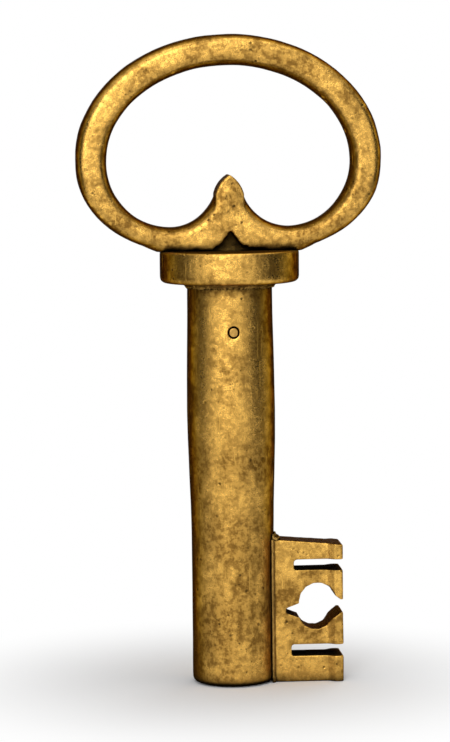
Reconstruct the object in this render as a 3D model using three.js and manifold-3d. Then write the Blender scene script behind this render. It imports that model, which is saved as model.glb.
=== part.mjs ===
// A ceremonial pipe key in gilt brass: a looped bow with a cusp, a collar, a hollow shank and a warded bit.
// The pieces are joined the way a brass founder joins them: the bow's tang runs down through the collar into
// the pipe and is held there by a cross pin, the bit's tongue sits in a slot in the pipe's wall, and brazing
// fillets close the joints.
//
// Frame, millimetres: the shank's axis is Z, with the pipe's open end at z = 0 and the bow on top. The bow and
// the bit lie in the XZ plane, with the bit towards +X, and the thickness of both runs along Y.

import * as THREE from "three";
import { mergeVertices } from "three/addons/utils/BufferGeometryUtils.js";
import Module from "manifold-3d";

// Shank, a pipe
const shankLength = 99.2;
const pipeEndRadius = 10.3;
const pipeBellyRadius = 11.0;
const pipeBellyHeight = 68;
const pipeNeckRadius = 10.6;
const boreRadius = 5;
const boreMouthChamfer = 0.7;
const pipeEndRound = 1.5;

// Collar
const collarRadius = 17.2;
const collarHeight = 8;
const collarLowerRound = 1.5;
const collarUpperRound = 0.5;

// Bow: the outline is measured from the middle of the loop
const bowCentreRise = 22.5;
const bowHalfWidth = 37.7;
const bowRise = 30.3;
const bowDrop = 24.5;
const bowDropPower = 2.3;
const bowThickness = 10.4;
const barWidth = 7.9;
const bowEdgeRound = 2.2;
const bowEdgeDepth = 4.6;

// Loop and cusp: two lobes, with a point between them
const loopCentreDrop = 0.7;
const footHeight = 5.9;
const lobeMiddle = 14.4;
const cuspHalfWidth = 3.1;
const cuspFlankHeight = 11.7;
const cuspCoreHeight = 3.2;
const cuspRise = 18.7;
const cuspPointHeight = 4.9;
const cuspThickness = 9.9;
const cuspFootAngle = (-130 * Math.PI) / 180;
const cuspFootInset = 0.4;

// Relief under the bow's foot, on both faces: a low arch with a notch in its middle
const reliefHalfWidth = 11.4;
const reliefHeight = 1.5;
const reliefDepth = 3.2;
const notchHalfWidth = 2.6;
const notchHeight = 5.2;

// Tang, inside the collar and the pipe, and its cross pin
const tangRadius = 4.85;
const tangDepth = 18;
const tangRoot = 5;
const pinRadius = 1.1;
const pinDrop = 11.6;

// Bit: a plate with a thicker outer edge
const bitHeight = 35.6;
const bitTopDrop = 1.4;
const bitReach = 27;
const bitThickness = 8.4;
const edgeThickness = 11;
const edgeWidth = 2.2;
const edgeSlopeWidth = 1.8;
const edgeCornerRound = 0.8;

// Tongue of the bit, in the pipe's wall
const tongueThickness = 4.6;
const tongueSetback = 0.5;
const tongueShortfall = 3;

// Ward cuts in the bit
const upperSlot = { start: 14.9, middle: 29.2, height: 2.5 };
const lowerSlot = { start: 14.1, middle: 7.9, height: 2.7 };
const slotCornerRound = 0.6;
const wardTop = { x: 20.6, z: 20.1, radius: 4.5 };
const wardBottom = { x: 20.1, z: 17.2, radius: 4.1 };
const spurStart = 12.9;
const spurHalfHeight = 0.5;
const spurRootHalfHeight = 1.7;
const spurMiddle = 17.8;
const outletMiddle = 18.9;
const outletHalfHeight = 1.5;

// Brazing
const brazeGap = 0.15;
const collarFillet = 1.3;
const bitFillet = 1.2;

// Facets
const roundSegments = 64;
const arcSegments = 7;
const sweepSegments = 22;
const pointSegments = 4;
const overrun = 5;

const collarTop = shankLength + collarHeight;
const bowCentre = collarTop + bowCentreRise;
const loopCentre = bowCentre - loopCentreDrop;
const lobeFloor = collarTop + footHeight;
const flankTop = lobeFloor + cuspFlankHeight;
const cuspTip = collarTop + cuspRise;
const cuspShoulder = cuspTip - cuspPointHeight;

const wasm = await Module();
wasm.setup();

// Geometry to solid and back

// A closed geometry as a solid that can be cut and joined.
function solidOf(geometry) {
  const bare = geometry.index ? geometry.toNonIndexed() : geometry.clone();
  bare.deleteAttribute("normal");
  bare.deleteAttribute("uv");
  const merged = mergeVertices(bare, 1e-4);
  return new wasm.Manifold(
    new wasm.Mesh({
      numProp: 3,
      vertProperties: new Float32Array(merged.attributes.position.array),
      triVerts: new Uint32Array(merged.index.array),
    }),
  );
}

function geometryOf(solid) {
  const mesh = solid.getMesh();
  const geometry = new THREE.BufferGeometry();
  geometry.setAttribute("position", new THREE.BufferAttribute(mesh.vertProperties, 3));
  geometry.setIndex(new THREE.BufferAttribute(mesh.triVerts, 1));
  geometry.computeVertexNormals();
  return geometry;
}

// A profile of (radius, height) points turned about Z.
function turned(profile) {
  const points = profile.map(([radius, height]) => new THREE.Vector2(radius, height));
  points.push(points[0].clone());
  const geometry = new THREE.LatheGeometry(points, roundSegments);
  geometry.rotateX(Math.PI / 2);
  return solidOf(geometry);
}

// A closed outline in the XZ plane, given its thickness along Y, centred on y = middle.
function plate(shape, thickness, middle = 0) {
  const geometry = new THREE.ExtrudeGeometry(shape, {
    depth: thickness,
    bevelEnabled: false,
    curveSegments: arcSegments,
  });
  geometry.rotateX(Math.PI / 2);
  geometry.translate(0, middle + thickness / 2, 0);
  return solidOf(geometry);
}

// A closed outline in the XY plane, raised from low to high along Z.
function column(shape, low, high) {
  const geometry = new THREE.ExtrudeGeometry(shape, {
    depth: high - low,
    bevelEnabled: false,
    curveSegments: arcSegments,
  });
  geometry.translate(0, 0, low);
  return solidOf(geometry);
}

function block(low, high) {
  const size = new THREE.Vector3().subVectors(high, low);
  const geometry = new THREE.BoxGeometry(size.x, size.y, size.z);
  geometry.translate(low.x + size.x / 2, low.y + size.y / 2, low.z + size.z / 2);
  return solidOf(geometry);
}

function polygon(points) {
  return new THREE.Shape(points.map(([x, y]) => new THREE.Vector2(x, y)));
}

// Points of a quarter round from angle start to angle end about (x, y).
function quarter(x, y, radius, start, end) {
  return Array.from({ length: arcSegments + 1 }, (_, step) => {
    const angle = start + ((end - start) * step) / arcSegments;
    return [x + radius * Math.cos(angle), y + radius * Math.sin(angle)];
  });
}

// Shank

const straightHeight = bitHeight + bitFillet;

// The outside of the pipe: straight beside the bit, then a slight belly, then the neck under the collar.
function pipeRadiusAt(z) {
  const ease = (share) => (1 - Math.cos(Math.PI * Math.min(1, Math.max(0, share)))) / 2;
  if (z <= pipeBellyHeight) {
    const share = (z - straightHeight) / (pipeBellyHeight - straightHeight);
    return pipeEndRadius + (pipeBellyRadius - pipeEndRadius) * ease(share);
  }
  const share = (z - pipeBellyHeight) / (shankLength - pipeBellyHeight);
  return pipeBellyRadius + (pipeNeckRadius - pipeBellyRadius) * ease(share);
}

const pinHeight = shankLength - pinDrop;

function pinCylinder(radius, halfLength) {
  const geometry = new THREE.CylinderGeometry(radius, radius, 2 * halfLength, 20);
  const solid = solidOf(geometry);
  return solid.translate([0, 0, pinHeight]);
}

// The pipe beside the bit, grown by the brazing gap, as the space that the bit and its fillets stay out of.
const pipeSpace = turned([
  [0, -overrun],
  [pipeEndRadius + brazeGap, -overrun],
  [pipeEndRadius + brazeGap, straightHeight],
  [0, straightHeight],
]);

function shankPipe() {
  const bellyHeights = Array.from({ length: 5 }, (_, step) => {
    return straightHeight + ((pipeBellyHeight - straightHeight) * step) / 4;
  });
  const neckHeights = Array.from({ length: 4 }, (_, step) => {
    return pipeBellyHeight + ((shankLength - pipeBellyHeight) * (step + 1)) / 4;
  });
  const pipe = turned([
    [boreRadius, shankLength],
    [boreRadius, boreMouthChamfer],
    [boreRadius + boreMouthChamfer, 0],
    ...quarter(pipeEndRadius - pipeEndRound, pipeEndRound, pipeEndRound, -Math.PI / 2, 0),
    ...[...bellyHeights, ...neckHeights].map((z) => [pipeRadiusAt(z), z]),
  ]);
  const slotHalf = tongueThickness / 2 + brazeGap;
  const slot = block(
    new THREE.Vector3(0, -slotHalf, -overrun),
    new THREE.Vector3(pipeEndRadius + overrun, slotHalf, bitHeight - tongueShortfall + brazeGap),
  );
  return pipe.subtract(slot).subtract(pinCylinder(pinRadius + brazeGap, pipeBellyRadius + overrun));
}

// Collar

function collar() {
  const inside = tangRadius + brazeGap;
  const low = collarRadius - collarLowerRound;
  const high = collarRadius - collarUpperRound;
  return turned([
    [inside, shankLength],
    ...quarter(low, shankLength + collarLowerRound, collarLowerRound, -Math.PI / 2, 0),
    ...quarter(high, collarTop - collarUpperRound, collarUpperRound, 0, Math.PI / 2),
    [inside, collarTop],
  ]);
}

// Bow

// The outer outline: a half ellipse above the middle, and a fuller curve below it that the foot cuts off.
function bowOutline() {
  const points = [];
  for (let step = 0; step < 2 * sweepSegments; step++) {
    const angle = (Math.PI * step) / (2 * sweepSegments);
    points.push([bowHalfWidth * Math.cos(angle), bowCentre + bowRise * Math.sin(angle)]);
  }
  for (let step = 0; step < 2 * sweepSegments; step++) {
    const angle = (Math.PI * step) / (2 * sweepSegments);
    const across = Math.cos(angle);
    const reach = Math.sign(across) * Math.abs(across) ** (2 / bowDropPower);
    const down = Math.sin(angle) ** (2 / bowDropPower);
    points.push([-bowHalfWidth * reach, bowCentre - bowDrop * down]);
  }
  return polygon(points);
}

// Points of part of an ellipse about (x, z), from one angle to another, without the last point. It starts
// outside the ellipse by flare, and comes back to it at the end.
function ellipseArc(x, z, radiusX, radiusZ, start, end, flare = 0) {
  return Array.from({ length: sweepSegments }, (_, step) => {
    const angle = start + ((end - start) * step) / sweepSegments;
    const out = flare * (1 - step / sweepSegments);
    return [x + (radiusX + out) * Math.cos(angle), z + (radiusZ + out) * Math.sin(angle)];
  });
}

// The cusp's right flank, from an angle on the lobe up to the shoulder under the point.
function cuspFlank(start = -Math.PI / 2, flare = 0) {
  const sunk = Math.max(0, Math.min(1, (flankTop - cuspShoulder) / cuspFlankHeight));
  const radiusX = lobeMiddle - cuspHalfWidth;
  const end = -Math.PI + Math.asin(sunk);
  const shoulderX = lobeMiddle - radiusX * Math.cos(Math.asin(sunk));
  return [
    ...ellipseArc(lobeMiddle, flankTop, radiusX, cuspFlankHeight, start, end, flare),
    [shoulderX, cuspShoulder],
  ];
}

// The loop's right half, from the top: an ellipse, a lobe, and the round core that the cusp's point sits on.
function loopHalf() {
  const halfWidth = bowHalfWidth - barWidth;
  const rise = bowRise + loopCentreDrop - barWidth;
  return [
    ...ellipseArc(0, loopCentre, halfWidth, rise, Math.PI / 2, 0),
    ...ellipseArc(lobeMiddle, loopCentre, halfWidth - lobeMiddle, loopCentre - lobeFloor, 0, -Math.PI / 2),
    ...cuspFlank().slice(0, -1),
    ...ellipseArc(0, cuspShoulder, cuspFlank()[sweepSegments][0], cuspCoreHeight, 0, Math.PI / 2),
    [0, cuspShoulder + cuspCoreHeight],
  ];
}

// The cusp, up to its point, with a crest that runs from front to back. Its foot spreads inside the round edges
// of the bar, so that it leaves no step there.
function cusp() {
  const flank = cuspFlank(cuspFootAngle, bowEdgeRound + cuspFootInset);
  const [shoulderX, shoulderZ] = flank[flank.length - 1];
  const point = new THREE.QuadraticBezierCurve(
    new THREE.Vector2(shoulderX, shoulderZ),
    new THREE.Vector2(shoulderX * 0.8, shoulderZ + cuspPointHeight * 0.63),
    new THREE.Vector2(0, cuspTip),
  );
  const right = [...flank.slice(0, -1), ...point.getPoints(pointSegments).map(({ x, y }) => [x, y])];
  const left = right.slice(0, -1).reverse();
  return plate(polygon([...right, ...left.map(([x, z]) => [-x, z])]), cuspThickness);
}

function bow() {
  const right = loopHalf();
  const left = right.slice(1, -1).reverse();
  const outline = bowOutline();
  outline.holes.push(polygon([...right, ...left.map(([x, z]) => [-x, z])]));
  const geometry = new THREE.ExtrudeGeometry(outline, {
    depth: bowThickness - 2 * bowEdgeDepth,
    bevelThickness: bowEdgeDepth,
    bevelSize: bowEdgeRound,
    bevelOffset: -bowEdgeRound,
    bevelSegments: 4,
  });
  geometry.rotateX(Math.PI / 2);
  geometry.translate(0, bowThickness / 2 - bowEdgeDepth, 0);
  const below = block(
    new THREE.Vector3(-bowHalfWidth, -bowThickness, collarTop - bowDrop),
    new THREE.Vector3(bowHalfWidth, bowThickness, collarTop),
  );
  const relief = polygon([
    [-reliefHalfWidth, collarTop - overrun],
    [reliefHalfWidth, collarTop - overrun],
    [reliefHalfWidth, collarTop],
    [notchHalfWidth, collarTop + reliefHeight],
    [0, collarTop + notchHeight],
    [-notchHalfWidth, collarTop + reliefHeight],
    [-reliefHalfWidth, collarTop],
  ]);
  const reliefOffset = bowThickness / 2 - reliefDepth / 2;
  const tang = turned([
    [0, shankLength - tangDepth],
    [tangRadius, shankLength - tangDepth],
    [tangRadius, collarTop + tangRoot],
    [0, collarTop + tangRoot],
  ]);
  const tangInFoot = tang.intersect(
    block(
      new THREE.Vector3(-tangRadius, -bowThickness / 2 + reliefDepth, collarTop - overrun),
      new THREE.Vector3(tangRadius, bowThickness / 2 - reliefDepth, collarTop + tangRoot),
    ),
  );
  const tangBelow = tang.subtract(
    block(
      new THREE.Vector3(-collarRadius, -collarRadius, collarTop),
      new THREE.Vector3(collarRadius, collarRadius, collarTop + 2 * tangRoot),
    ),
  );
  return solidOf(geometry)
    .add(cusp())
    .subtract(below)
    .subtract(plate(relief, reliefDepth, -reliefOffset))
    .subtract(plate(relief, reliefDepth, reliefOffset))
    .add(tangBelow)
    .add(tangInFoot)
    .subtract(pinCylinder(pinRadius + brazeGap, pipeBellyRadius + overrun));
}

function tangPin() {
  return pinCylinder(pinRadius, pipeRadiusAt(pinHeight));
}

// Bit

// The bit's section seen from above: a plate with a thicker outer edge.
function bitSection() {
  const half = bitThickness / 2;
  const edge = edgeThickness / 2;
  const edgeStart = bitReach - edgeWidth;
  const upper = quarter(bitReach - edgeCornerRound, edge - edgeCornerRound, edgeCornerRound, 0, Math.PI / 2);
  const side = [...upper, [edgeStart, edge], [edgeStart - edgeSlopeWidth, half], [0, half]];
  return polygon([...side, ...side.map(([x, y]) => [x, -y]).reverse()]);
}

// The bit's face: its top edge falls away from the shank.
function bitFace() {
  return polygon([
    [0, 0],
    [bitReach + overrun, 0],
    [bitReach + overrun, bitTopAt(bitReach + overrun)],
    [0, bitTopAt(0)],
  ]);
}

function bitTopAt(x) {
  return bitHeight - (bitTopDrop * (x - pipeEndRadius)) / (bitReach - pipeEndRadius);
}

function wardSlot({ start, middle, height }) {
  const end = bitReach + overrun;
  const low = middle - height / 2;
  const high = middle + height / 2;
  const round = slotCornerRound;
  return polygon([
    [end, low],
    [end, high],
    ...quarter(start + round, high - round, round, Math.PI / 2, Math.PI),
    ...quarter(start + round, low + round, round, Math.PI, (3 * Math.PI) / 2),
  ]);
}

function wardRound({ x, z, radius }) {
  const shape = new THREE.Shape();
  shape.absarc(x, z, radius, 0, 2 * Math.PI);
  return shape;
}

// The straight flanks that join the two rounds of the ward hole.
function wardWaist() {
  return polygon([
    [wardTop.x - wardTop.radius, wardTop.z],
    [wardBottom.x - wardBottom.radius, wardBottom.z],
    [wardBottom.x + wardBottom.radius, wardBottom.z],
    [wardTop.x + wardTop.radius, wardTop.z],
  ]);
}

// A pointed cut that runs from the ward hole towards the shank.
function wardSpur() {
  return polygon([
    [spurStart, spurMiddle - spurHalfHeight],
    [wardTop.x, spurMiddle - spurRootHalfHeight * 2],
    [wardTop.x, spurMiddle + spurRootHalfHeight * 2],
    [spurStart, spurMiddle + spurHalfHeight],
  ]);
}

// The way from the ward hole out through the bit's edge, funnel shaped.
function wardOutlet() {
  const end = bitReach + overrun;
  return polygon([
    [wardTop.x, wardBottom.z - wardBottom.radius],
    [bitReach - edgeCornerRound, outletMiddle - outletHalfHeight],
    [end, outletMiddle - outletHalfHeight],
    [end, outletMiddle + outletHalfHeight],
    [bitReach - edgeCornerRound, outletMiddle + outletHalfHeight],
    [wardTop.x, wardTop.z + wardTop.radius],
  ]);
}

function bit() {
  const through = edgeThickness + overrun;
  const cuts = [
    wardSlot(upperSlot),
    wardSlot(lowerSlot),
    wardRound(wardTop),
    wardRound(wardBottom),
    wardWaist(),
    wardSpur(),
    wardOutlet(),
  ];
  let solid = column(bitSection(), 0, bitHeight + overrun).intersect(plate(bitFace(), through));
  solid = solid.subtract(pipeSpace);
  for (const cut of cuts) {
    solid = solid.subtract(plate(cut, through));
  }
  const tongue = block(
    new THREE.Vector3(boreRadius + tongueSetback, -tongueThickness / 2, 0),
    new THREE.Vector3(pipeEndRadius + 1, tongueThickness / 2, bitHeight - tongueShortfall),
  );
  return solid.add(tongue);
}

// Brazing fillets

// The ring of braze in the corner under the collar.
function collarBraze() {
  const foot = pipeRadiusAt(shankLength - collarFillet) + brazeGap;
  const top = pipeNeckRadius + brazeGap;
  const centreR = top + collarFillet;
  return turned([
    [foot, shankLength - collarFillet],
    ...quarter(centreR, shankLength - collarFillet, collarFillet, Math.PI, Math.PI / 2),
    [top, shankLength],
  ]);
}

// A bead down the corner between one face of the bit and the pipe: side is -1 in front and 1 behind.
function faceBraze(side) {
  const face = bitThickness / 2 + brazeGap;
  const outside = pipeEndRadius + brazeGap;
  const centreX = Math.sqrt((outside + bitFillet) ** 2 - (face + bitFillet) ** 2);
  const centreY = face + bitFillet;
  const towardsPipe = Math.atan2(-centreY, -centreX) + 2 * Math.PI;
  const bead = polygon([
    [centreX - bitFillet, face - brazeGap],
    [centreX, face - brazeGap],
    ...quarter(centreX, centreY, bitFillet, (3 * Math.PI) / 2, towardsPipe),
  ]);
  const bitSpace = block(
    new THREE.Vector3(0, -face, -overrun),
    new THREE.Vector3(bitReach, face, bitHeight + overrun),
  );
  const solid = column(bead, brazeGap, bitTopAt(centreX)).subtract(pipeSpace).subtract(bitSpace);
  return side > 0 ? solid : solid.mirror([0, 1, 0]);
}

// The bead in the corner over the bit's top edge.
function topBraze() {
  const inside = pipeEndRadius + brazeGap;
  const outside = inside + bitFillet;
  const low = bitTopAt(inside) + brazeGap;
  const ring = turned([
    [inside, low - overrun],
    [outside, low - overrun],
    ...quarter(outside, low + bitFillet, bitFillet, (3 * Math.PI) / 2, Math.PI),
  ]);
  const over = polygon([
    [0, bitTopAt(0) + brazeGap],
    [outside + overrun, bitTopAt(outside + overrun) + brazeGap],
    [outside + overrun, bitHeight + overrun],
    [0, bitHeight + overrun],
  ]);
  return ring.intersect(plate(over, bitThickness));
}

// Materials and the finished key

const giltBrass = { color: 0xa87c34, roughness: 0.38, metalness: 1 };
const brazingMetal = { color: 0x8f6c30, roughness: 0.5, metalness: 1 };
const pinBrass = { color: 0xb08a42, roughness: 0.35, metalness: 1 };

const key = new THREE.Group();

function addPiece(name, solid, finish) {
  const mesh = new THREE.Mesh(geometryOf(solid), new THREE.MeshStandardMaterial(finish));
  mesh.name = name;
  key.add(mesh);
}

addPiece("bow", bow(), giltBrass);
addPiece("collar", collar(), giltBrass);
addPiece("shank_pipe", shankPipe(), giltBrass);
addPiece("bit", bit(), giltBrass);
addPiece("tang_pin", tangPin(), pinBrass);
addPiece("collar_braze", collarBraze(), brazingMetal);
addPiece("bit_braze_front", faceBraze(-1), brazingMetal);
addPiece("bit_braze_back", faceBraze(1), brazingMetal);
addPiece("bit_braze_top", topBraze(), brazingMetal);

export default key;
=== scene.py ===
# %% [markdown]
# A worn key in gilt brass, built around solids that are already at their real size. The solids come in as loose
# triangles with hard corners. Each is copied, closed into one skin and worn down, because a casting that has been
# handled for a long time has no sharp edge left. All places and sizes follow the solids.

import math

import bpy
from mathutils import Matrix, Quaternion, Vector


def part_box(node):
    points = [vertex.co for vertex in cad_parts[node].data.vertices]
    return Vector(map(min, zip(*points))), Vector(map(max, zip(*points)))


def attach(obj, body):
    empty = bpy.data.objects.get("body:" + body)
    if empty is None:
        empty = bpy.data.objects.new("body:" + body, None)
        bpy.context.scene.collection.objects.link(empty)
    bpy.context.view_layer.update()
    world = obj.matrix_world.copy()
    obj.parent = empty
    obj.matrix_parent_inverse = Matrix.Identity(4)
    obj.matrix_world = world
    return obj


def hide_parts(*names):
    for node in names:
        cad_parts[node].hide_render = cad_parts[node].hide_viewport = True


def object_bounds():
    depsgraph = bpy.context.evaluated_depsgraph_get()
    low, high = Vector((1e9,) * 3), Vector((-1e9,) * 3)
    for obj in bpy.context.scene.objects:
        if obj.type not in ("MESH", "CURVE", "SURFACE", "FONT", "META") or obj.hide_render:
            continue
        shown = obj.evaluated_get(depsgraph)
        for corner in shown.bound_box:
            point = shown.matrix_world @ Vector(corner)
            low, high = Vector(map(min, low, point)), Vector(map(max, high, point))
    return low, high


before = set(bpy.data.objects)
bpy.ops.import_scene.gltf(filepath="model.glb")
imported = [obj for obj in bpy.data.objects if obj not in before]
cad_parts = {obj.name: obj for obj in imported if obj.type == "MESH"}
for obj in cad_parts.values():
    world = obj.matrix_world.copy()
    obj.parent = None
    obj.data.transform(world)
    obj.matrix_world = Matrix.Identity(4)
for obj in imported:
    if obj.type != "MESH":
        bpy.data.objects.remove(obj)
cad_low, cad_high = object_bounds()
MM = 0.001
print("solid box in mm:", [round(v / MM, 1) for v in (*cad_low, *cad_high)])

# %% [markdown]
# Worn metal is a skin without corners. A voxel remesh gives every solid an even grid of small faces, and smoothing
# rounds the corners by about the width of one face. A cast face is never quite flat either, so a displacement
# takes off a little more here than there. It only goes inwards, so that the key doesn't grow.

# %% Tools for wearing down a solid
def shape_with(piece, kind, **settings):
    """Adds a modifier to the piece and applies it at once."""
    modifier = piece.modifiers.new(kind.title(), kind)
    for setting, value in settings.items():
        setattr(modifier, setting, value)
    bpy.ops.object.modifier_apply(modifier=modifier.name)


def joined_copy(node, name):
    """A copy of a solid, with its loose triangles merged into one skin."""
    piece = bpy.data.objects.new(name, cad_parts[node].data.copy())
    bpy.context.scene.collection.objects.link(piece)
    bpy.ops.object.select_all(action="DESELECT")
    bpy.context.view_layer.objects.active = piece
    piece.select_set(True)
    bpy.ops.mesh.customdata_custom_splitnormals_clear()
    bpy.ops.object.mode_set(mode="EDIT")
    bpy.ops.mesh.select_all(action="SELECT")
    bpy.ops.mesh.remove_doubles(threshold=0.002 * MM)
    bpy.ops.object.mode_set(mode="OBJECT")
    return piece


def worn_copy(node, name, grid, rounding, waves=None, depth=0.0, level=1.0):
    """A copy of a solid with an even grid, rounded corners and waves, which only go inwards at level 1."""
    piece = joined_copy(node, name)
    shape_with(piece, "REMESH", mode="VOXEL", voxel_size=grid)
    shape_with(piece, "SMOOTH", factor=0.5, iterations=rounding)
    if waves:
        shape_with(piece, "DISPLACE", texture=waves, texture_coords="LOCAL", strength=depth, mid_level=level)
    for vertex in piece.data.vertices:
        vertex.co.z = max(vertex.co.z, cad_low.z)
    piece.data.shade_smooth()
    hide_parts(node)
    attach(piece, "root")
    print(name, "has", len(piece.data.polygons), "faces")
    return piece


def wave_texture(name, size):
    """Soft waves in the object's own space, for unevenness that a hand can feel."""
    texture = bpy.data.textures.new(name, "CLOUDS")
    texture.noise_scale = size
    texture.noise_depth = 1
    return texture


CAST_WAVES = wave_texture("cast_waves", 9 * MM)
TURNED_WAVES = wave_texture("turned_waves", 22 * MM)

# %% [markdown]
# The bow was cast and filed by hand, so it is the most uneven piece. The bit was filed too, but its cuts had to
# fit a lock, so it is worn less. Collar and shank were turned, and only have a slow, shallow waviness.

# %% Wear down each piece
bow = worn_copy("bow", "worn_bow", 0.36 * MM, 8, CAST_WAVES, 0.3 * MM)
collar = worn_copy("collar", "worn_collar", 0.36 * MM, 5, TURNED_WAVES, 0.15 * MM)
shank = worn_copy("shank_pipe", "worn_shank", 0.46 * MM, 6, TURNED_WAVES, 0.25 * MM)
bit = worn_copy("bit", "worn_bit", 0.22 * MM, 6, CAST_WAVES, 0.15 * MM)
pin = worn_copy("tang_pin", "worn_pin", 0.16 * MM, 3)

# %% [markdown]
# Wear opens a thin gap all along the bow's foot. On the real key the foot's ends sit tight on the collar, and only
# the hollow in its middle stays open, so the lowest skin of the foot is pushed down until it sinks in a little.

# %% Seat the bow's foot
COLLAR_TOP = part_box("collar")[1].z
FOOT_SKIN = 1.3 * MM
FOOT_PUSH = 0.55 * MM
for vertex in bow.data.vertices:
    above = vertex.co.z - COLLAR_TOP
    if -FOOT_PUSH < above < FOOT_SKIN:
        vertex.co.z -= FOOT_PUSH * (1 - max(0, above) / FOOT_SKIN)

# %% [markdown]
# Brazing metal runs into a corner and freezes there with a lumpy skin. Small waves on a fine grid show that, and
# they go outwards, so that the metal closes the corner on both sides.

# %% Wear down the brazing
BRAZE_WAVES = wave_texture("braze_waves", 1.6 * MM)
beads = [
    worn_copy("collar_braze", "bead_under_collar", 0.2 * MM, 3, BRAZE_WAVES, 0.3 * MM, -0.4),
    worn_copy("bit_braze_front", "bead_front_of_bit", 0.12 * MM, 2, BRAZE_WAVES, 0.3 * MM, -0.5),
    worn_copy("bit_braze_back", "bead_back_of_bit", 0.12 * MM, 2, BRAZE_WAVES, 0.3 * MM, -0.5),
    worn_copy("bit_braze_top", "bead_over_bit", 0.12 * MM, 2, BRAZE_WAVES, 0.3 * MM, -0.5),
]

# %% [markdown]
# Old gilding shows bright gold where hands polish it, brown metal where the gold is thin, and nearly black dirt in
# specks and pits. Ambient occlusion adds painted shade: it turns every corner and hollow nearly black in the
# colour.
# One node group works out these masks from the object's own coordinates, and each metal mixes its own colours with
# them. Hands and cloths polish the broad faces, so the walls between front and back keep their tarnish, which the
# skin's direction gives; that darker brown on the sides is also painted side shade. Scratches are noise that is
# stretched a long way in one direction, so that only thin lines pass a threshold, and pits are the centres of
# small cells. The scale of each noise is in waves per metre.

# %% Tools for building node trees
def add_node(tree, kind, **settings):
    node = tree.nodes.new(kind)
    for setting, value in settings.items():
        setattr(node, setting, value)
    return node


def noise(tree, place, scale, detail=4.0, roughness=0.6):
    node = add_node(tree, "ShaderNodeTexNoise")
    node.inputs["Scale"].default_value = scale
    node.inputs["Detail"].default_value = detail
    node.inputs["Roughness"].default_value = roughness
    tree.links.new(place, node.inputs["Vector"])
    return node.outputs["Fac"]


def ramp(tree, value, low, high, out_low=0.0, out_high=1.0):
    """The value, moved from the range low to high into another range, smoothly and with both ends held."""
    node = add_node(tree, "ShaderNodeMapRange", interpolation_type="SMOOTHSTEP", clamp=True)
    for socket, number in zip(("From Min", "From Max", "To Min", "To Max"), (low, high, out_low, out_high)):
        node.inputs[socket].default_value = number
    tree.links.new(value, node.inputs["Value"])
    return node.outputs["Result"]


def combine(tree, operation, first, second):
    """A math node on two sockets, where the second may be a plain number."""
    node = add_node(tree, "ShaderNodeMath", operation=operation)
    tree.links.new(first, node.inputs[0])
    if isinstance(second, (int, float)):
        node.inputs[1].default_value = second
    else:
        tree.links.new(second, node.inputs[1])
    return node.outputs[0]


def scratches(tree, place, turn, scale):
    """Thin short lines that run along one direction."""
    mapping = add_node(tree, "ShaderNodeMapping")
    mapping.inputs["Rotation"].default_value = turn
    mapping.inputs["Scale"].default_value = (scale, scale, scale / 28)
    tree.links.new(place, mapping.inputs["Vector"])
    return ramp(tree, noise(tree, mapping.outputs[0], 1.0, 2.0, 0.5), 0.69, 0.74)


# %% The masks of old metal
PATCHES = 75
CLOUDS = 620
MOTTLE = 260
SPECKS = 1500
WORN_AREAS = 130
PIT_CELLS = 420
GRAIN = 1100
# How far the ambient occlusion looks, for the painted shade in corners and hollows.
CORNER_SHADE_REACH = 5 * MM


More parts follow.
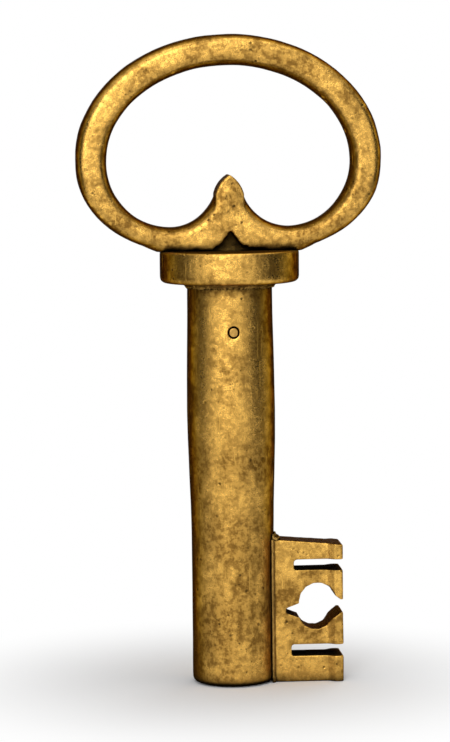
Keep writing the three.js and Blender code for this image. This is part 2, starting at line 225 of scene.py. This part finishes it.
def old_metal_masks():
    group = bpy.data.node_groups.new("old_metal_masks", "ShaderNodeTree")
    for name in ("Gilding", "TarnishAndSideShade", "DirtAndShade", "Polish", "Scratch", "Relief"):
        group.interface.new_socket(name=name, in_out="OUTPUT", socket_type="NodeSocketFloat")
    place = add_node(group, "ShaderNodeTexCoord").outputs["Object"]
    out = add_node(group, "NodeGroupOutput")
    geometry = add_node(group, "ShaderNodeNewGeometry")

    patches = ramp(group, noise(group, place, PATCHES, 5, 0.62), 0.42, 0.6)
    clouds = ramp(group, noise(group, place, CLOUDS, 6, 0.75), 0.4, 0.6)
    gilding = combine(group, "MULTIPLY", combine(group, "ADD", patches, clouds), 0.5)

    # Tarnish and painted side shade: faces that turn away from front and back, such as the sides of the shank and
    # the walls of the bow, get a darker brown.
    direction = add_node(group, "ShaderNodeSeparateXYZ")
    group.links.new(geometry.outputs["Normal"], direction.inputs["Vector"])
    facing = combine(group, "ABSOLUTE", direction.outputs["Y"], 0)
    mottle = combine(group, "MULTIPLY", noise(group, place, MOTTLE, 5, 0.65), 0.6)
    tarnish_and_side_shade = ramp(group, combine(group, "ADD", facing, mottle), 0.55, 1.2, 1.0, 0.0)

    # Painted shade: ambient occlusion turns corners, hollows and the gap under the bow's foot nearly black in the
    # colour, on top of the real dirt specks and pits.
    occlusion = add_node(group, "ShaderNodeAmbientOcclusion", samples=8)
    occlusion.inputs["Distance"].default_value = CORNER_SHADE_REACH
    painted_corner_shade = ramp(group, occlusion.outputs["AO"], 0.35, 0.92, 1.0, 0.0)
    specks = ramp(group, noise(group, place, SPECKS, 3, 0.6), 0.60, 0.70)
    worn_away = ramp(group, noise(group, place, WORN_AREAS, 4, 0.6), 0.46, 0.62)
    speckle = combine(group, "MULTIPLY", specks, worn_away)
    dirt_and_corner_shade = combine(group, "MAXIMUM", painted_corner_shade, combine(group, "MULTIPLY", speckle, 0.8))

    polish = ramp(group, geometry.outputs["Pointiness"], 0.505, 0.56)

    cells = add_node(group, "ShaderNodeTexVoronoi", feature="F1")
    cells.inputs["Scale"].default_value = PIT_CELLS
    group.links.new(place, cells.inputs["Vector"])
    pits = combine(group, "MULTIPLY", ramp(group, cells.outputs["Distance"], 0.08, 0.2, 1.0, 0.0), worn_away)
    lines = combine(
        group,
        "MAXIMUM",
        scratches(group, place, (0.35, 0.1, 0.5), 2600),
        scratches(group, place, (1.3, 0.5, 0.2), 3200),
    )
    dirt_and_corner_shade = combine(group, "MAXIMUM", dirt_and_corner_shade, combine(group, "MULTIPLY", pits, 0.75))
    grain = combine(group, "MULTIPLY", noise(group, place, GRAIN, 6, 0.75), 1.1)
    hollows = combine(group, "ADD", combine(group, "MULTIPLY", pits, 1.2), combine(group, "MULTIPLY", lines, 0.35))
    relief = combine(group, "SUBTRACT", grain, hollows)

    made = {
        "Gilding": gilding,
        "TarnishAndSideShade": tarnish_and_side_shade,
        "DirtAndShade": dirt_and_corner_shade,
        "Polish": polish,
        "Scratch": lines,
        "Relief": relief,
    }
    for name, socket in made.items():
        group.links.new(socket, out.inputs[name])
    return group


MASKS = old_metal_masks()
print("mask group has", len(MASKS.nodes), "nodes")

# %% [markdown]
# A metal mixes its colours from the dull to the bright: gilding over brown, tarnish and painted side shade on the
# walls, gold again on the polished edges, and dirt with painted corner shade over everything. Dull and shaded
# places are also rougher, and tint the sheen at flat angles.

# %% Mix a metal from the masks
# How dark the tarnish and painted side shade are, as a share of the brown.
TARNISH_AND_SHADE_SHARE = 0.45


def mix_colour(tree, factor, below, above):
    node = add_node(tree, "ShaderNodeMix", data_type="RGBA")
    tree.links.new(factor, node.inputs[0])
    for socket, colour in ((node.inputs[6], below), (node.inputs[7], above)):
        if isinstance(colour, tuple):
            socket.default_value = (*colour, 1)
        else:
            tree.links.new(colour, socket)
    return node.outputs[2]


def old_metal(name, gold, brown, black, shine, relief_depth):
    """Gilt metal: gold over brown, dirt and painted shade in the corners, and gold again on what hands polish."""
    tarnish_and_shade_brown = tuple(TARNISH_AND_SHADE_SHARE * part for part in brown)
    material = bpy.data.materials.new(name)
    material.use_nodes = True
    tree = material.node_tree
    shader = tree.nodes["Principled BSDF"]
    masks = add_node(tree, "ShaderNodeGroup", node_tree=MASKS).outputs
    colour = mix_colour(tree, masks["Gilding"], brown, gold)
    # Tarnish, partly painted side shade, darkens the walls between front and back.
    colour = mix_colour(tree, combine(tree, "MULTIPLY", masks["TarnishAndSideShade"], 0.92), colour, tarnish_and_shade_brown)
    colour = mix_colour(tree, combine(tree, "MULTIPLY", masks["Polish"], 0.7), colour, gold)
    colour = mix_colour(tree, combine(tree, "MULTIPLY", masks["Scratch"], 0.6), colour, gold)
    # Dirt and painted corner shade take the colour to near black.
    colour = mix_colour(tree, masks["DirtAndShade"], colour, black)
    rough = ramp(tree, masks["Gilding"], 0.0, 1.0, shine + 0.16, shine)
    rough = combine(tree, "ADD", rough, combine(tree, "MULTIPLY", masks["DirtAndShade"], 0.25))
    rough = combine(tree, "ADD", rough, combine(tree, "MULTIPLY", masks["TarnishAndSideShade"], 0.12))
    # The sheen is tinted where tarnish, dirt and painted shade lie.
    sheen = mix_colour(tree, combine(tree, "MAXIMUM", masks["TarnishAndSideShade"], masks["DirtAndShade"]), gold, tarnish_and_shade_brown)
    bump = add_node(tree, "ShaderNodeBump")
    bump.inputs["Strength"].default_value = 0.5
    bump.inputs["Distance"].default_value = relief_depth
    tree.links.new(masks["Relief"], bump.inputs["Height"])
    tree.links.new(bump.outputs["Normal"], shader.inputs["Normal"])
    tree.links.new(colour, shader.inputs["Base Color"])
    tree.links.new(rough, shader.inputs["Roughness"])
    tree.links.new(sheen, shader.inputs["Specular Tint"])
    shader.inputs["Metallic"].default_value = 1.0
    return material


def finish_with(piece, material):
    piece.data.materials.clear()
    piece.data.materials.append(material)


GILT_GOLD = (0.82, 0.47, 0.1)
GILT_BROWN = (0.2, 0.1, 0.018)
# Near black, for dirt specks and pits and for the painted shade in corners and hollows.
DIRT_AND_SHADE_BLACK = (0.012, 0.008, 0.003)
gilt_brass = old_metal("gilt_brass", GILT_GOLD, GILT_BROWN, DIRT_AND_SHADE_BLACK, 0.23, 0.2 * MM)
pin_brass = old_metal("pin_brass", (0.62, 0.36, 0.09), (0.27, 0.15, 0.04), DIRT_AND_SHADE_BLACK, 0.3, 0.08 * MM)
brazing = old_metal("brazing_metal", (0.46, 0.27, 0.07), (0.16, 0.09, 0.022), DIRT_AND_SHADE_BLACK, 0.38, 0.15 * MM)

for piece in (bow, collar, shank, bit):
    finish_with(piece, gilt_brass)
finish_with(pin, pin_brass)
for bead in beads:
    finish_with(bead, brazing)
print("finished", 5 + len(beads), "pieces")

# %% [markdown]
# The key stands on the open end of its pipe, on a pale floor. The photograph is on pure white, so the floor keeps
# the shadow near the key and fades to white farther away, for the rays that show it as a background.

# %% Floor
FLOOR_SIZE = 6
bpy.ops.object.select_all(action="DESELECT")
bpy.ops.mesh.primitive_plane_add(size=FLOOR_SIZE, location=(0, 0, 0))
floor = bpy.context.object
floor.name = "floor"
floor.data.transform(floor.matrix_world)
floor.matrix_world.identity()
pale = bpy.data.materials.new("pale_floor")
pale.use_nodes = True
paper = pale.node_tree
matt = paper.nodes["Principled BSDF"]
matt.inputs["Base Color"].default_value = (0.88, 0.88, 0.88, 1)
matt.inputs["Roughness"].default_value = 0.9


def background_rays(tree):
    """One for the rays that show the background: those of the camera, of gloss and through glass."""
    path = add_node(tree, "ShaderNodeLightPath").outputs
    seen = combine(tree, "MAXIMUM", path["Is Camera Ray"], path["Is Glossy Ray"])
    return combine(tree, "MAXIMUM", seen, path["Is Transmission Ray"])


FLOOR_SHADOW_REACH = 14 * MM
FLOOR_WHITE_REACH = 90 * MM
from_key = add_node(paper, "ShaderNodeVectorMath", operation="LENGTH")
paper.links.new(add_node(paper, "ShaderNodeTexCoord").outputs["Object"], from_key.inputs[0])
far = ramp(paper, from_key.outputs["Value"], FLOOR_SHADOW_REACH, FLOOR_WHITE_REACH)
white = add_node(paper, "ShaderNodeEmission")
blend = add_node(paper, "ShaderNodeMixShader")
paper.links.new(combine(paper, "MULTIPLY", far, background_rays(paper)), blend.inputs[0])
paper.links.new(matt.outputs[0], blend.inputs[1])
paper.links.new(white.outputs[0], blend.inputs[2])
paper.links.new(blend.outputs[0], paper.nodes["Material Output"].inputs["Surface"])
floor.data.materials.append(pale)
print("floor is white from", round(FLOOR_WHITE_REACH / MM), "mm on")

# %% [markdown]
# Polished metal shows what stands around it. A large soft lamp in front makes the long highlight down the shank,
# one above lights the collar and the bow's top, and one behind keeps the back from going dark.

# %% Lamps
KEY_MIDDLE = (cad_low + cad_high) / 2


def soft_lamp(name, azimuth, elevation, distance, width, height, radiance):
    """A large soft lamp aimed at the middle of the key, as bright per area as the radiance says."""
    data = bpy.data.lights.new(name, "AREA")
    data.shape = "RECTANGLE"
    data.size = width
    data.size_y = height
    data.energy = radiance * math.pi * width * height
    lamp = bpy.data.objects.new(name, data)
    bpy.context.scene.collection.objects.link(lamp)
    a, e = math.radians(azimuth), math.radians(elevation)
    away = Vector((math.sin(a) * math.cos(e), -math.cos(a) * math.cos(e), math.sin(e)))
    lamp.location = KEY_MIDDLE + away * distance
    lamp.rotation_mode = "QUATERNION"
    lamp.rotation_quaternion = away.to_track_quat("Z", "Y")
    return lamp


soft_lamp("key_lamp", -16, 24, 1.1, 0.45, 0.8, 3.9)
soft_lamp("top_lamp", 20, 78, 1.0, 0.8, 0.5, 1.6)
soft_lamp("side_lamp", 150, 35, 1.2, 0.5, 0.7, 1.2)
print("lamps:", [light.name for light in bpy.data.lights])

# %% [markdown]
# In an all-white room polished metal looks flat. A studio hangs dark cards beside it, which the camera doesn't
# see but the metal does: they draw the dark bands that make a round shank look round.

# %% Dark cards beside the key
def dark_card(name, azimuth, distance, width, height):
    bpy.ops.mesh.primitive_plane_add(size=1)
    card = bpy.context.object
    card.name = name
    a = math.radians(azimuth)
    away = Vector((math.sin(a), -math.cos(a), 0))
    card.data.transform(Matrix.Diagonal((width, height, 1, 1)))
    card.data.transform(away.to_track_quat("Z", "Y").to_matrix().to_4x4())
    card.data.transform(Matrix.Translation(KEY_MIDDLE + away * distance))
    card.data.materials.append(card_paint)
    card.visible_camera = False
    card.visible_diffuse = False
    card.visible_shadow = False


card_paint = bpy.data.materials.new("card_paint")
card_paint.use_nodes = True
card_paint.node_tree.nodes["Principled BSDF"].inputs["Base Color"].default_value = (0.02, 0.02, 0.02, 1)
card_paint.node_tree.nodes["Principled BSDF"].inputs["Roughness"].default_value = 1.0
dark_card("card_left", -88, 0.3, 0.26, 0.5)
dark_card("card_right", 72, 0.3, 0.34, 0.5)

# %% [markdown]
# The room is white to look at, and lights the key at under half of that level.

# %% The room
world = bpy.data.worlds.new("pale_room")
world.use_nodes = True
bpy.context.scene.world = world
sky = world.node_tree
level = sky.nodes["Background"]
level.inputs["Color"].default_value = (1, 1, 1, 1)
ROOM_LIGHT = 0.45
sky.links.new(ramp(sky, background_rays(sky), 0.0, 1.0, ROOM_LIGHT, 1.0), level.inputs["Strength"])
bpy.context.scene.view_settings.view_transform = "Standard"

# %% [markdown]
# The photograph was taken from a little above and a little to the left, from 0.71 m away with a long lens, and
# the key leans by less than a degree in it. The camera repeats that by its height, azimuth and roll.

# %% Camera
CAMERA_DISTANCE = 711 * MM
CAMERA_HEIGHT = 143.7 * MM
CAMERA_AZIMUTH = math.radians(-4.6)
CAMERA_ROLL = math.radians(-0.66)
AIM = Vector((-1.4, 0, 77.3)) * MM
PHOTOGRAPHED_HEIGHT = 182.1 * MM
SENSOR = 36.0

camera_data = bpy.data.cameras.new("camera")
camera_data.sensor_width = SENSOR
camera_data.lens = SENSOR * CAMERA_DISTANCE / PHOTOGRAPHED_HEIGHT
camera_data.clip_start = 0.01
camera = bpy.data.objects.new("camera", camera_data)
bpy.context.scene.collection.objects.link(camera)
camera.location = (
    CAMERA_DISTANCE * math.sin(CAMERA_AZIMUTH),
    -CAMERA_DISTANCE * math.cos(CAMERA_AZIMUTH),
    CAMERA_HEIGHT,
)
camera.rotation_mode = "QUATERNION"
looking = (AIM - camera.location).to_track_quat("-Z", "Y")
camera.rotation_quaternion = looking @ Quaternion((0, 0, 1), CAMERA_ROLL)
bpy.context.scene.camera = camera
print("lens in mm:", round(camera_data.lens, 1))
